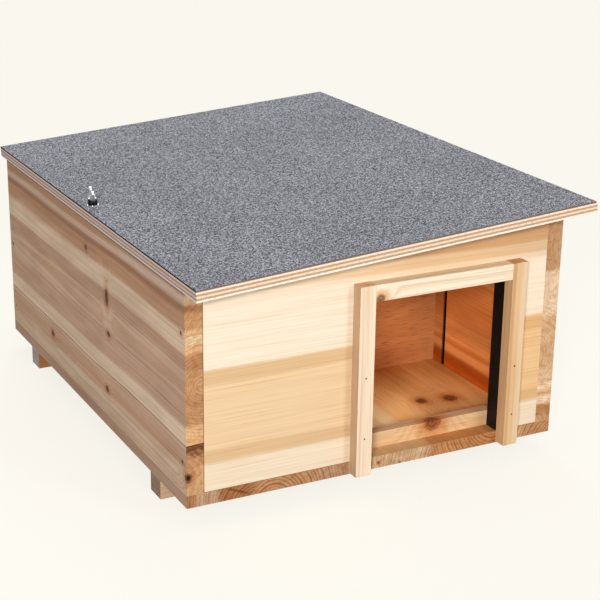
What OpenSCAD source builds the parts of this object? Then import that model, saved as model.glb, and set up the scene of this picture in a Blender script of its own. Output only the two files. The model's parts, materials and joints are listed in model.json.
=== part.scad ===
// Hedgehog house. A floored box of edge-glued softwood boards stands on two foot
// battens. Its felted plywood lid slopes down to the left, turns on two butt
// hinges under its high right edge, and is held shut by a wing nut at the low edge.
// The front faces -Y, the high side is at +X, and the ground is at Z 0.

/* [House] */
// Width across the two side walls
house_w = 413.5; // [380:0.5:460]
// Depth from the front face to the back face
house_d = 536; // [480:1:620]
// Height of the low left wall, at its outer face
low_h = 200; // [190:0.5:225]
// Height of the high right wall, at its outer face
high_h = 230; // [228:0.5:260]
// Thickness of the four wall boards
wall_t = 18; // [15:0.5:22]
// Thickness of the base board
base_t = 13; // [12:0.5:20]

/* [Feet] */
// Width of a foot batten, front to back
foot_w = 25; // [20:1:40]
// Height of a foot batten
foot_h = 20; // [18:1:40]
// Distance from the front or back face to the nearest foot
foot_inset = 66; // [40:1:110]

/* [Doorway] */
// Clear width of the doorway
door_w = 156; // [120:1:170]
// Height of the doorway above the floor
door_h = 168.5; // [120:0.5:172]
// Distance from the outer right face to the doorway
door_side = 67; // [45:0.5:75]
// Width of a frame batten, seen from the front
frame_w = 17; // [14:0.5:22]
// How far the frame battens stand proud of the front wall
frame_t = 13.5; // [10:0.5:20]
// How far the posts stop short of the base board's underside
post_short = 1.5; // [0:0.5:5]
// Height of the sill batten behind the doorway
sill_h = 16.5; // [10:0.5:30]
// Thickness of the sill batten, front to back
sill_t = 12.5; // [8:0.5:20]
// How far the sill runs past the doorway at each end
sill_lap = 5; // [2:0.5:12]

/* [Partition] */
// Thickness of the partition plywood
partition_t = 9; // [6:0.5:12]
// Distance from the front face to the partition
partition_y = 201.5; // [195:0.5:240]
// Width of the passage left at the low side
passage_w = 140; // [120:1:180]
// Gap between the partition and the lid
partition_gap = 2; // [1:0.5:6]
// Width of the spare groove in the right wall
groove_w = 4.4; // [3:0.1:8]
// Depth of the spare groove
groove_depth = 5; // [3:0.5:8]
// Distance from the front face to the spare groove
groove_y = 178.2; // [150:0.1:184]

/* [Lid] */
// Thickness of the lid plywood
ply_t = 10; // [8:0.5:15]
// Thickness of the roofing felt
felt_t = 1.8; // [1:0.1:4]
// Overhang of the lid at the front
over_front = 28; // [15:1:50]
// Overhang of the lid at the back
over_back = 21; // [15:1:50]
// Overhang of the lid past the low wall
over_low = 0; // [0:1:20]
// Overhang of the lid past the high wall
over_high = 19.5; // [17:0.5:30]
// How far the felt stops short of the lid's high edge
felt_short = 1.5; // [0:0.5:5]
// Gap between the shut lid and the wall tops
lid_gap = 0.3; // [0.2:0.1:1]

/* [Wing nut] */
// Distance from the low wall's outer face to the stud
stud_x = 11; // [7:0.5:13]
// Distance from the front face to the stud
stud_y = 264; // [150:1:400]
// Diameter of the stud
stud_d = 6; // [5:0.5:8]
// Length of the stud inside the wall
stud_bite = 34; // [25:1:60]
// Length of the stud above the washer
stud_top = 10.5; // [9:0.5:16]
// Diameter of the lid's hole for the stud
stud_hole_d = 9; // [8.5:0.5:11]
// Outer diameter of the washer
washer_d = 12; // [12:0.5:20]
// Thickness of the washer
washer_t = 1.4; // [1:0.1:3]
// Play between the washer and the stud, all round
washer_play = 0.2; // [0.1:0.05:0.5]
// Diameter of the nut's hub at its foot
hub_d = 10.5; // [10:0.5:14]
// Height of the straight foot of the hub
hub_foot_h = 1.2; // [0.6:0.1:3]
// Diameter of the nut's hub at its top
hub_top_d = 8.6; // [8.4:0.1:12]
// Height of the nut's hub
hub_h = 7; // [5:0.5:10]
// Span over the two wings
wing_span = 24; // [20:0.5:36]
// Height of the wing nut to its wing tips
wing_h = 16.5; // [13:0.5:20]
// Radius of a wing's rounded end
wing_r = 3.2; // [2.5:0.1:4.5]
// Radius of a wing's root and of its bend
wing_neck_r = 2.3; // [1.8:0.1:3]
// Thickness of a wing
wing_t = 2.4; // [1.6:0.1:3.5]
// Angle of the wings, counted from the width of the house
wing_angle = 78; // [60:1:120]

/* [Hinges] */
// Length of a hinge
hinge_l = 40; // [36:1:60]
// Distance from the front or back face to a hinge's middle
hinge_inset = 90; // [60:1:140]
// Width of a leaf, from the pin's axis
leaf_w = 12; // [11:0.5:13]
// Thickness of a leaf
leaf_t = 1.2; // [1:0.1:1.6]
// Radius of a leaf's outer corners
leaf_r = 3; // [1:0.5:5]
// Diameter of the hinge pin
pin_d = 2.4; // [2:0.1:3]
// Outer diameter of a knuckle
knuckle_d = 5; // [4.6:0.1:5.6]
// Number of knuckles in one hinge
knuckles = 5; // [3:2:7]
// Distance between neighbouring hinge screws
hinge_screw_step = 13; // [10:1:16]
// Shank diameter of a hinge screw
hinge_screw_d = 2.4; // [2:0.1:3]
// Head diameter of a hinge screw
hinge_head_d = 4.8; // [4:0.1:5.2]
// Length of a hinge screw in the wall
wall_screw_l = 14; // [10:1:16]
// Length of a hinge screw in the lid
lid_screw_l = 7; // [5:0.5:8.5]

/* [Nails and screws] */
// Shank diameter of a wall nail
nail_d = 1.8; // [1.4:0.1:2.4]
// Head diameter of a wall nail
nail_head_d = 2.8; // [2.6:0.1:5]
// Length of a wall nail
nail_l = 45; // [35:1:60]
// Depth of a wall nail's head below the surface
nail_sink = 1; // [0.5:0.5:2]
// Shank diameter of a frame brad
brad_d = 1.1; // [0.8:0.1:1.6]
// Head diameter of a frame brad
brad_head_d = 1.8; // [1.8:0.1:2.6]
// Length of a frame brad
brad_l = 24; // [20:1:30]
// Shank diameter of a base screw or foot screw
screw_d = 3.5; // [3:0.1:4.5]
// Head diameter of a base screw or foot screw
screw_head_d = 7; // [6:0.1:9]
// Length of a base screw
base_screw_l = 40; // [35:1:42]
// Depth of a foot screw's head inside its foot
foot_screw_sink = 6; // [3:0.5:8]
// Length of a foot screw
foot_screw_l = 24; // [20:1:26]

/* [Hidden] */
$fn = 48;

// Clearance round a shank, pin or head in its own hole
fit = 0.05;
// Clearance beside and behind a knuckle
knuckle_gap = 0.4;
// Overshoot of a cutting tool past the face it opens
cut = 1;

// Heights of the nails above the base: two at each front corner, three at each back one
front_nail_heights = [32, 160];
back_nail_heights = [20, 99, low_h - wall_t / 2];
// Heights of the brads above the base board's underside
left_brad_heights = [41.5, 105];
right_brad_heights = [35.5, 88.5];
// Heights of the nails through the right wall into the partition
partition_nail_heights = [50, 150];

pitch = atan((high_h - low_h) / house_w);
base_top = foot_h + base_t;
roof_t = ply_t + felt_t;
hinge_off = knuckle_d / 2 + knuckle_gap;
knuckle_l = hinge_l / knuckles;

door_x1 = house_w - door_side;
door_x0 = door_x1 - door_w;
door_top = base_top + door_h;
partition_x0 = wall_t + passage_w;

// The pin's axis lies one knuckle out from the wall and one knuckle under the lid
axis_x = house_w + hinge_off;
axis_run = (axis_x + (lid_gap - hinge_off) * sin(pitch)) / cos(pitch);
axis_z = base_top + low_h + axis_run * sin(pitch) + (lid_gap - hinge_off) * cos(pitch);
hinge_ys = [hinge_inset, house_d - hinge_inset];

stud_run = stud_x / cos(pitch);
foot_ys = [foot_inset, house_d - foot_inset - foot_w];

// The lid's length up the slope, with its lower corners plumb over the stated overhangs
roof_run0 = (lid_gap * sin(pitch) - over_low) / cos(pitch);
roof_run1 = (house_w + over_high + lid_gap * sin(pitch)) / cos(pitch);

// The middle of the whole object, which is moved to the origin
left_reach = over_low + roof_t * sin(pitch);
front_reach = max(over_front, frame_t);
mid_x = (house_w + over_high - left_reach) / 2;
mid_y = (house_d + over_back - front_reach) / 2;

// Fasteners: length, shank diameter, head diameter, head thickness, depth of the head
wall_nail = [nail_l, nail_d, nail_head_d, 0.8, nail_sink];
brad = [brad_l, brad_d, brad_head_d, 0.6, 0.3];
foot_screw = [foot_screw_l, screw_d, screw_head_d, 2, foot_screw_sink];
// Countersunk screws: length, shank diameter, head diameter, head depth
base_screw = [base_screw_l, screw_d, screw_head_d, 2.4];
wall_hinge_screw = [wall_screw_l, hinge_screw_d, hinge_head_d, leaf_t];
lid_hinge_screw = [lid_screw_l, hinge_screw_d, hinge_head_d, leaf_t];

// Height of the wall tops at a distance from the low wall's outer face
function top_line(x) = base_top + low_h + x * tan(pitch);

module at_origin() translate([-mid_x, -mid_y, 0]) children();

// Frame of the lid: X up the slope, Z square to it, its underside at Z 0
module on_lid()
    translate([0, 0, base_top + low_h]) rotate([0, -pitch, 0]) translate([0, 0, lid_gap])
        children();

// Board standing on the base, its top cut to the slope of the lid
module upright(x0, x1, y0, y1, drop = 0)
    translate([0, y1, 0]) rotate([90, 0, 0]) linear_extrude(y1 - y0)
        polygon([
            [x0, base_top], [x1, base_top],
            [x1, top_line(x1) - drop], [x0, top_line(x0) - drop]
        ]);

// Flat-headed nail driven down from Z 0
module nail(size)
    translate([0, 0, -size[4]]) {
        translate([0, 0, -size[3]]) cylinder(d = size[2], h = size[3]);
        translate([0, 0, -size[0]]) cylinder(d = size[1], h = size[0] - size[3]);
    }

// Hole of a nail, its pocket open at the face
module nail_hole(size)
    translate([0, 0, -size[4]]) {
        translate([0, 0, -size[3]])
            cylinder(d = size[2] + 2 * fit, h = size[3] + size[4] + cut);
        translate([0, 0, -size[0] - fit])
            cylinder(d = size[1] + 2 * fit, h = size[0] + fit - size[3] / 2);
    }

// Countersunk screw with its head flush at Z 0
module screw(size) {
    translate([0, 0, -size[3]]) cylinder(d1 = size[1], d2 = size[2], h = size[3]);
    translate([0, 0, -size[0]]) cylinder(d = size[1], h = size[0] - size[3]);
}

module screw_hole(size) {
    translate([0, 0, -size[3]])
        cylinder(d1 = size[1] + 2 * fit, d2 = size[2] + 2 * fit, h = size[3]);
    cylinder(d = size[2] + 2 * fit, h = cut);
    translate([0, 0, -size[0] - fit]) cylinder(d = size[1] + 2 * fit, h = size[0] + fit);
}

// Places of the fasteners, each with Z pointing out of the wood

module wall_nail_spots()
    for (side = [0, 1]) translate([side * house_w, 0, 0]) {
        for (z = front_nail_heights)
            translate([0, wall_t / 2, base_top + z]) rotate([0, side * 180 - 90, 0]) children();
        for (z = back_nail_heights)
            translate([0, house_d - wall_t / 2, base_top + z])
                rotate([0, side * 180 - 90, 0]) children();
    }

module left_brad_spots()
    for (z = left_brad_heights)
        translate([door_x0 - frame_w / 2, -frame_t, foot_h + z]) rotate([90, 0, 0]) children();

module right_brad_spots()
    for (z = right_brad_heights)
        translate([door_x1 + frame_w / 2, -frame_t, foot_h + z]) rotate([90, 0, 0]) children();

module base_screw_spots() {
    ys = [foot_inset / 2, house_d / 2, house_d - foot_inset / 2];
    for (x = [wall_t / 2, house_w - wall_t / 2], y = ys)
        translate([x, y, foot_h]) rotate([180, 0, 0]) children();
    for (x = [(wall_t + door_x0 - frame_w) / 2, (door_x1 + house_w - wall_t) / 2])
        translate([x, wall_t / 2, foot_h]) rotate([180, 0, 0]) children();
    for (x = [house_w / 3, house_w * 2 / 3])
        translate([x, house_d - wall_t / 2, foot_h]) rotate([180, 0, 0]) children();
}

module foot_screw_spots()
    for (x = [house_w / 10, house_w / 2, house_w * 9 / 10], y = foot_ys)
        translate([x, y + foot_w / 2, 0]) rotate([180, 0, 0]) children();

module partition_nail_spots() {
    for (z = partition_nail_heights)
        translate([house_w, partition_y + partition_t / 2, base_top + z])
            rotate([0, 90, 0]) children();
    for (x = [partition_x0 + wall_t, house_w - 3 * wall_t])
        translate([x, partition_y + partition_t / 2, foot_h]) rotate([180, 0, 0]) children();
}

module wall_screw_spots()
    for (y = hinge_ys, k = [-1, 0, 1])
        translate([house_w + leaf_t, y + k * hinge_screw_step, axis_z - (hinge_off + leaf_w) / 2])
            rotate([0, 90, 0]) children();

module lid_screw_spots()
    for (y = hinge_ys, k = [-1, 0, 1])
        on_lid() translate([
            axis_run + (hinge_off + leaf_w) / 2, y + k * hinge_screw_step, -leaf_t
        ]) rotate([180, 0, 0]) children();

module base_board() color("tan") at_origin() difference() {
    translate([0, 0, foot_h]) cube([house_w, house_d, base_t]);
    base_screw_spots() screw_hole(base_screw);
    foot_screw_spots() nail_hole(foot_screw);
    partition_nail_spots() nail_hole(wall_nail);
}

module foot(y) color("tan") at_origin() difference() {
    translate([0, y, 0]) cube([house_w, foot_w, foot_h]);
    foot_screw_spots() nail_hole(foot_screw);
}

module left_wall() color("burlywood") at_origin() difference() {
    upright(0, wall_t, 0, house_d);
    wall_nail_spots() nail_hole(wall_nail);
    base_screw_spots() screw_hole(base_screw);
    on_lid() translate([stud_run, stud_y, -stud_bite - lid_gap - fit])
        cylinder(d = stud_d + 2 * fit, h = stud_bite + lid_gap + cut);
}

// The spare groove runs down the inner face, in front of the partition
module right_wall() color("burlywood") at_origin() difference() {
    upright(house_w - wall_t, house_w, 0, house_d);
    translate([house_w - wall_t - cut, groove_y, base_top - cut])
        cube([groove_depth + cut, groove_w, high_h + 2 * cut]);
    wall_nail_spots() nail_hole(wall_nail);
    base_screw_spots() screw_hole(base_screw);
    partition_nail_spots() nail_hole(wall_nail);
    wall_screw_spots() screw_hole(wall_hinge_screw);
}

module front_wall() color("wheat") at_origin() difference() {
    upright(wall_t, house_w - wall_t, 0, wall_t);
    translate([door_x0, -cut, base_top - cut]) cube([door_w, wall_t + 2 * cut, door_h + cut]);
    wall_nail_spots() nail_hole(wall_nail);
    base_screw_spots() screw_hole(base_screw);
    left_brad_spots() nail_hole(brad);
    right_brad_spots() nail_hole(brad);
}

module back_wall() color("wheat") at_origin() difference() {
    upright(wall_t, house_w - wall_t, house_d - wall_t, house_d);
    wall_nail_spots() nail_hole(wall_nail);
    base_screw_spots() screw_hole(base_screw);
}

module partition() color("peru") at_origin() difference() {
    upright(partition_x0, house_w - wall_t, partition_y, partition_y + partition_t, partition_gap);
    partition_nail_spots() nail_hole(wall_nail);
}

module door_sill() color("wheat") at_origin()
    translate([door_x0 - sill_lap, wall_t, base_top])
        cube([door_w + 2 * sill_lap, sill_t, sill_h]);

// The posts reach down over the edge of the base board
module door_post(x)
    translate([x, -frame_t, foot_h + post_short])
        cube([frame_w, frame_t, base_t - post_short + door_h + frame_w]);

module left_door_post() color("wheat") at_origin() difference() {
    door_post(door_x0 - frame_w);
    left_brad_spots() nail_hole(brad);
}

module right_door_post() color("wheat") at_origin() difference() {
    door_post(door_x1);
    right_brad_spots() nail_hole(brad);
}

module door_lintel() color("wheat") at_origin()
    translate([door_x0, -frame_t, door_top]) cube([door_w, frame_t, frame_w]);

// Flat sheet over the lid, with the hole for the stud
module lid_sheet(z, t, short = 0)
    difference() {
        translate([roof_run0, -over_front, z])
            cube([roof_run1 - roof_run0 - short, over_front + house_d + over_back, t]);
        translate([stud_run, stud_y, z - cut]) cylinder(d = stud_hole_d, h = t + 2 * cut);
    }

module roof_board() color("burlywood") at_origin() difference() {
    on_lid() lid_sheet(0, ply_t);
    lid_screw_spots() screw_hole(lid_hinge_screw);
}

module roof_felt() color("dimgray") at_origin() on_lid() lid_sheet(ply_t, felt_t, felt_short);

module lid_stud() color("silver") at_origin() on_lid()
    translate([stud_run, stud_y, -stud_bite - lid_gap]) {
        tip = stud_d / 8;
        length = stud_bite + lid_gap + roof_t + washer_t + stud_top;
        cylinder(d = stud_d, h = length - tip);
        translate([0, 0, length - tip]) cylinder(d1 = stud_d, d2 = stud_d - 2 * tip, h = tip);
    }

module lid_washer() color("silver") at_origin() on_lid()
    translate([stud_run, stud_y, roof_t]) difference() {
        cylinder(d = washer_d, h = washer_t);
        translate([0, 0, -cut]) cylinder(d = stud_d + 2 * washer_play, h = washer_t + 2 * cut);
    }

// One wing: a flat blade that leans out from the hub, bends up and swells to a rounded end
module wing() {
    root = [hub_top_d / 2 - wing_neck_r / 3, hub_h / 2];
    tip = [wing_span / 2 - wing_r, wing_h - wing_r];
    bend = [tip[0] - wing_neck_r / 3, hub_h];
    translate([0, wing_t / 2, 0]) rotate([90, 0, 0]) linear_extrude(wing_t) {
        hull() {
            translate(root) circle(wing_neck_r);
            translate(bend) circle(wing_neck_r);
        }
        hull() {
            translate(bend) circle(wing_neck_r);
            translate(tip) circle(wing_r);
        }
    }
}

module wing_nut() color("silver") at_origin() on_lid()
    translate([stud_run, stud_y, roof_t + washer_t]) rotate([0, 0, wing_angle])
        difference() {
            union() {
                cylinder(d = hub_d, h = hub_foot_h);
                translate([0, 0, hub_foot_h])
                    cylinder(d1 = hub_d, d2 = hub_top_d, h = hub_h - hub_foot_h);
                for (turn = [0, 180]) rotate([0, 0, turn]) wing();
            }
            translate([0, 0, -cut]) cylinder(d = stud_d + 2 * fit, h = wing_h + 2 * cut);
        }

// Hinge plate in the XY plane: its straight edge on the Y axis, its outer corners round
module leaf_plate()
    linear_extrude(leaf_t) {
        translate([0, -hinge_l / 2]) square([leaf_w - leaf_r, hinge_l]);
        translate([0, leaf_r - hinge_l / 2]) square([leaf_w, hinge_l - 2 * leaf_r]);
        for (side = [-1, 1])
            translate([leaf_w - leaf_r, side * (hinge_l / 2 - leaf_r)]) circle(leaf_r);
    }

// Barrel along the pin's axis, bored for the pin
module barrel() rotate([90, 0, 0]) cylinder(d = knuckle_d, h = hinge_l, center = true);

module pin_bore()
    rotate([90, 0, 0]) cylinder(d = pin_d + 2 * fit, h = hinge_l + 2 * cut, center = true);

// Slots that clear the other leaf's knuckles, starting at the first or the second
module knuckle_slots(first, low, size)
    for (k = [first : 2 : knuckles - 1])
        translate([low[0], k * knuckle_l - hinge_l / 2 - (k == 0 ? cut : knuckle_gap / 2), low[1]])
            cube([
                size[0],
                knuckle_l + (k == 0 ? cut : knuckle_gap / 2)
                    + (k == knuckles - 1 ? cut : knuckle_gap / 2),
                size[1]
            ]);

module wall_leaf(y) color("silver") at_origin() difference() {
    translate([axis_x, y, axis_z]) difference() {
        union() {
            translate([-hinge_off, 0, 0]) rotate([0, 90, 0]) leaf_plate();
            barrel();
        }
        knuckle_slots(1, [-leaf_w, -hinge_off], [2 * leaf_w, leaf_w]);
        pin_bore();
    }
    wall_screw_spots() screw_hole(wall_hinge_screw);
}

module lid_leaf(y) color("silver") at_origin() difference() {
    on_lid() translate([axis_run, y, -hinge_off]) difference() {
        union() {
            translate([0, 0, hinge_off - leaf_t]) leaf_plate();
            barrel();
        }
        knuckle_slots(0, [-leaf_w, -leaf_w], [leaf_w + hinge_off, 2 * leaf_w]);
        pin_bore();
    }
    lid_screw_spots() screw_hole(lid_hinge_screw);
}

module hinge_pin(y) color("silver") at_origin()
    translate([axis_x, y, axis_z]) rotate([90, 0, 0])
        cylinder(d = pin_d, h = hinge_l, center = true);

module hinge_wall_screws() color("silver") at_origin()
    wall_screw_spots() screw(wall_hinge_screw);

module hinge_lid_screws() color("silver") at_origin()
    lid_screw_spots() screw(lid_hinge_screw);

module wall_nails() color("gray") at_origin() wall_nail_spots() nail(wall_nail);

module frame_brads() color("gray") at_origin() {
    left_brad_spots() nail(brad);
    right_brad_spots() nail(brad);
}

module base_screws() color("silver") at_origin() base_screw_spots() screw(base_screw);

module foot_screws() color("silver") at_origin() foot_screw_spots() nail(foot_screw);

module partition_nails() color("gray") at_origin() partition_nail_spots() nail(wall_nail);

base_board();
foot(foot_ys[0]);  // front_foot
foot(foot_ys[1]);  // back_foot
left_wall();
right_wall();
front_wall();
back_wall();
partition();
door_sill();
left_door_post();
right_door_post();
door_lintel();
roof_board();
roof_felt();
lid_stud();
lid_washer();
wing_nut();
wall_leaf(hinge_ys[0]);  // front_hinge_wall_leaf
lid_leaf(hinge_ys[0]);  // front_hinge_lid_leaf
hinge_pin(hinge_ys[0]);  // front_hinge_pin
wall_leaf(hinge_ys[1]);  // back_hinge_wall_leaf
lid_leaf(hinge_ys[1]);  // back_hinge_lid_leaf
hinge_pin(hinge_ys[1]);  // back_hinge_pin
hinge_wall_screws();
hinge_lid_screws();
wall_nails();
frame_brads();
base_screws();
foot_screws();
partition_nails();
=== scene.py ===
import json
from math import atan2, cos, radians, sin

import bpy
from mathutils import Euler, Matrix, Vector


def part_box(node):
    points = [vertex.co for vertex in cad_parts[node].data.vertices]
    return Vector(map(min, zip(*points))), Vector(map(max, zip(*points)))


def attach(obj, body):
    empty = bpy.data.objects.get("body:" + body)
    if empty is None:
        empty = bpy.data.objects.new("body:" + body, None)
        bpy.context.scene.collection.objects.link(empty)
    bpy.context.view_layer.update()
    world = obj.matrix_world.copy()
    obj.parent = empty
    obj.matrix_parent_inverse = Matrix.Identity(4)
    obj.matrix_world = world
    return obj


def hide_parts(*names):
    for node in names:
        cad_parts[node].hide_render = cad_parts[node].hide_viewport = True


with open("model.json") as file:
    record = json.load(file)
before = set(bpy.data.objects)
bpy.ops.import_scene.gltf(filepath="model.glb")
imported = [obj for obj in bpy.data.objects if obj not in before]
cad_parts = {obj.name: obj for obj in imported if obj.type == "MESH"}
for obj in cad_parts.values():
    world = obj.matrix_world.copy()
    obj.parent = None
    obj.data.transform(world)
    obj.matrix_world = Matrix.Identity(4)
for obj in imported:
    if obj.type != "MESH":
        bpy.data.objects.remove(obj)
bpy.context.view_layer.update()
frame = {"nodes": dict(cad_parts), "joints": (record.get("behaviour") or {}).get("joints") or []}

# The studio: a long-lens camera at the front left, a key lamp at the front right, a
# stronger fill lamp at the front left and a weak lamp behind, all soft. Two narrow
# lamps shine in through the doorway, and the backdrop is cream paper.
PAPER = (0.956, 0.930, 0.855)
CAMERA_PLACE = (-0.7132, -1.4464, 0.6779)
CAMERA_AZIMUTH = radians(27.43)
CAMERA_DROP = radians(19.34)
CAMERA_ROLL = radians(0.80)
CAMERA_LENS = 91.15

camera_data = bpy.data.cameras.new("camera")
camera_data.sensor_width = 36
camera_data.lens = CAMERA_LENS
camera = bpy.data.objects.new("camera", camera_data)
bpy.context.scene.collection.objects.link(camera)
camera.location = CAMERA_PLACE
level_aim = Euler((radians(90) - CAMERA_DROP, 0, -CAMERA_AZIMUTH)).to_matrix()
camera.rotation_euler = (level_aim @ Matrix.Rotation(CAMERA_ROLL, 3, "Z")).to_euler()
bpy.context.scene.camera = camera


def lamp(name, kind, place, aim, watts):
    made = bpy.data.objects.new(name, bpy.data.lights.new(name, kind))
    bpy.context.scene.collection.objects.link(made)
    made.data.energy = watts
    made.location = place
    made.rotation_euler = (Vector(aim) - Vector(place)).to_track_quat("-Z", "Y").to_euler()
    return made.data


SOFT_LAMPS = {
    "key lamp": ((1.3, -3.0, 1.5), (0, 0, 0.12), 1.0, 34),
    "fill lamp": ((-2.35, -3.40, 1.55), (0, -0.1, 0.1), 0.8, 132),
    "top lamp": ((0.35, 1.7, 1.45), (0.05, 0.2, 0.25), 0.9, 14),
}
for name, (place, aim, wide, watts) in SOFT_LAMPS.items():
    soft_lamp = lamp(name, "AREA", place, aim, watts)
    soft_lamp.shape = "DISK"
    soft_lamp.size = wide

NARROW_LAMPS = {
    "doorway lamp": ((-0.27, -1.7, 0.37), (0.083, -0.06, 0.096), radians(4.6), 32),
    "doorstep lamp": ((-0.15, -1.6, 0.95), (0.054, -0.115, 0.033), radians(4.2), 50),
}
NARROW_LAMP_RADIUS = 0.02
for name, (place, aim, cone, watts) in NARROW_LAMPS.items():
    narrow_lamp = lamp(name, "SPOT", place, aim, watts)
    narrow_lamp.spot_size = cone
    narrow_lamp.spot_blend = 1.0
    narrow_lamp.shadow_soft_size = NARROW_LAMP_RADIUS


def fill(tree, node, inputs):
    """Links each input to a socket, or fills it in with a value."""
    for socket, value in inputs.items():
        if isinstance(value, bpy.types.NodeSocket):
            tree.links.new(value, node.inputs[socket])
        else:
            node.inputs[socket].default_value = value


def add(tree, kind, inputs=None, **settings):
    """A shader node with its settings and its inputs."""
    made = tree.nodes.new("ShaderNode" + kind)
    for name, value in settings.items():
        setattr(made, name, value)
    fill(tree, made, inputs or {})
    return made


def sums(tree, operation, *values):
    return add(tree, "Math", dict(enumerate(values)), operation=operation).outputs[0]


def blend(tree, share, first, second, kind="MIX"):
    inputs = {0: share, 6: first, 7: second}
    return add(tree, "Mix", inputs, data_type="RGBA", blend_type=kind).outputs[2]


SKY_LEVEL = 0.36
world = bpy.data.worlds.new("studio")
world.use_nodes = True
bpy.context.scene.world = world
sky = world.node_tree
sky.nodes.clear()
ray = add(sky, "LightPath").outputs
seen = sums(sky, "MAXIMUM", ray["Is Camera Ray"], ray["Is Glossy Ray"])
seen = sums(sky, "MAXIMUM", seen, ray["Is Transmission Ray"])
sky_colour = blend(sky, seen, (SKY_LEVEL, SKY_LEVEL, SKY_LEVEL, 1), (*PAPER, 1))
sky_shade = add(sky, "Background", {"Color": sky_colour})
add(sky, "OutputWorld", {"Surface": sky_shade.outputs[0]})

# The floor: a sheet of the same cream paper, laid under the house. It keeps the shadow
# near the house, and fades into the backdrop all round.
FLOOR_WIDE = 14
FLOOR_UNDER = 0.0002
FLOOR_ALBEDO = (0.20, 0.20, 0.19)
FLOOR_TOP_UP = (0.815, 0.79, 0.725)
SHADOW_REACH = (0.36, 0.95)


def blank_material(name):
    material = bpy.data.materials.new(name)
    material.use_nodes = True
    material.node_tree.nodes.clear()
    return material, material.node_tree


def span(tree, value, low, high, start=0.0, end=1.0):
    """Follows value smoothly from start, at low, to end, at high."""
    inputs = {"Value": value, 1: low, 2: high, 3: start, 4: end}
    return add(tree, "MapRange", inputs, interpolation_type="SMOOTHSTEP").outputs[0]


bpy.ops.object.select_all(action="DESELECT")
bpy.ops.mesh.primitive_plane_add(size=FLOOR_WIDE, location=(0, 0, -FLOOR_UNDER))
floor = bpy.context.object
floor.name = "floor"
bpy.ops.object.transform_apply(location=True)
paper, tree = blank_material("paper")
place = add(tree, "TexCoord").outputs["Object"]
from_middle = add(tree, "VectorMath", {0: place}, operation="LENGTH").outputs["Value"]
ray = add(tree, "LightPath").outputs["Is Camera Ray"]
lit = add(tree, "BsdfDiffuse", {"Color": (*FLOOR_ALBEDO, 1)})
top_up = add(tree, "Emission", {"Color": (*FLOOR_TOP_UP, 1), "Strength": ray})
near = add(tree, "AddShader", {0: lit.outputs[0], 1: top_up.outputs[0]})
even = add(tree, "Emission", {"Color": (*PAPER, 1)})
fade = sums(tree, "MULTIPLY", span(tree, from_middle, *SHADOW_REACH), ray)
whole = add(tree, "MixShader", {0: fade, 1: near.outputs[0], 2: even.outputs[0]})
add(tree, "OutputMaterial", {"Surface": whole.outputs[0]})
floor.data.materials.append(paper)

# The base: an edge-glued softwood board with its grain from front to back, so that
# its growth rings show on the front edge. It is sawn square and lightly sanded.


def dye(red, green, blue):
    """A colour given as it looks on a screen, from 0 to 255, as light."""
    return (*[((c / 255 + 0.055) / 1.055) ** 2.4 for c in (red, green, blue)], 1)


SAME_POINT = 1e-6
SAME_PLANE = radians(0.5)


def copied(name):
    """A copy of the node's own shape, its loose triangles joined into faces."""
    bpy.ops.object.select_all(action="DESELECT")
    piece = bpy.data.objects.new(name + "_finished", frame["nodes"][name].data.copy())
    bpy.context.scene.collection.objects.link(piece)
    bpy.context.view_layer.objects.active = piece
    piece.select_set(True)
    bpy.ops.mesh.customdata_custom_splitnormals_clear()
    bpy.ops.object.mode_set(mode="EDIT")
    bpy.ops.mesh.select_all(action="SELECT")
    bpy.ops.mesh.remove_doubles(threshold=SAME_POINT)
    bpy.ops.mesh.dissolve_limited(angle_limit=SAME_PLANE)
    bpy.ops.object.mode_set(mode="OBJECT")
    return piece


def stands_for(piece, name, material, body):
    piece.data.materials.clear()
    piece.data.materials.append(material)
    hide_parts(name)
    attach(piece, body)


SHARP = radians(35)


def eased(name, width, material, body="house"):
    """The node's own shape with its sharp edges taken off."""
    piece = copied(name)
    bpy.ops.object.shade_smooth_by_angle(angle=SHARP)
    edge = piece.modifiers.new("edge", "BEVEL")
    edge.width = width
    edge.segments = 2
    edge.angle_limit = SHARP
    edge.harden_normals = True
    bpy.ops.object.modifier_apply(modifier="edge")
    stands_for(piece, name, material, body)


def product(tree, *shares):
    """Masks and shares multiplied together."""
    whole, *rest = shares
    for share in rest:
        whole = sums(tree, "MULTIPLY", whole, share)
    return whole


def until(tree, value, full, gone):
    """A mask that is whole as far as full, and gone past gone."""
    return span(tree, value, full, gone, 1.0, 0.0)


def between(tree, value, low, low_full, high_full, high):
    """A mask that is whole between the two inner edges, and gone past the outer ones."""
    return product(tree, span(tree, value, low, low_full), until(tree, value, high_full, high))


def apart(tree, value, place):
    """How far value is from place, on either side of it."""
    return sums(tree, "ABSOLUTE", sums(tree, "SUBTRACT", value, place))


def distance(tree, across, through):
    squares = [sums(tree, "MULTIPLY", side, side) for side in (across, through)]
    return sums(tree, "SQRT", sums(tree, "ADD", *squares))


def grain_noise(tree, given, scales, detail, distortion=0.0):
    """Noise stretched by the three scales along, across and through the board."""
    place = add(tree, "CombineXYZ", {
        0: sums(tree, "MULTIPLY_ADD", given["Along"], scales[0], given["Seed"]),
        1: sums(tree, "MULTIPLY", given["Across"], scales[1]),
        2: sums(tree, "MULTIPLY", given["Through"], scales[2]),
    }).outputs[0]
    inputs = {"Vector": place, "Scale": 1.0, "Detail": detail, "Distortion": distortion}
    return add(tree, "TexNoise", inputs).outputs[0]


def line_noise(tree, place, detail=2.0):
    """Noise along a single line."""
    inputs = {"W": place, "Scale": 1.0, "Detail": detail}
    return add(tree, "TexNoise", inputs, noise_dimensions="1D").outputs[0]


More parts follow.
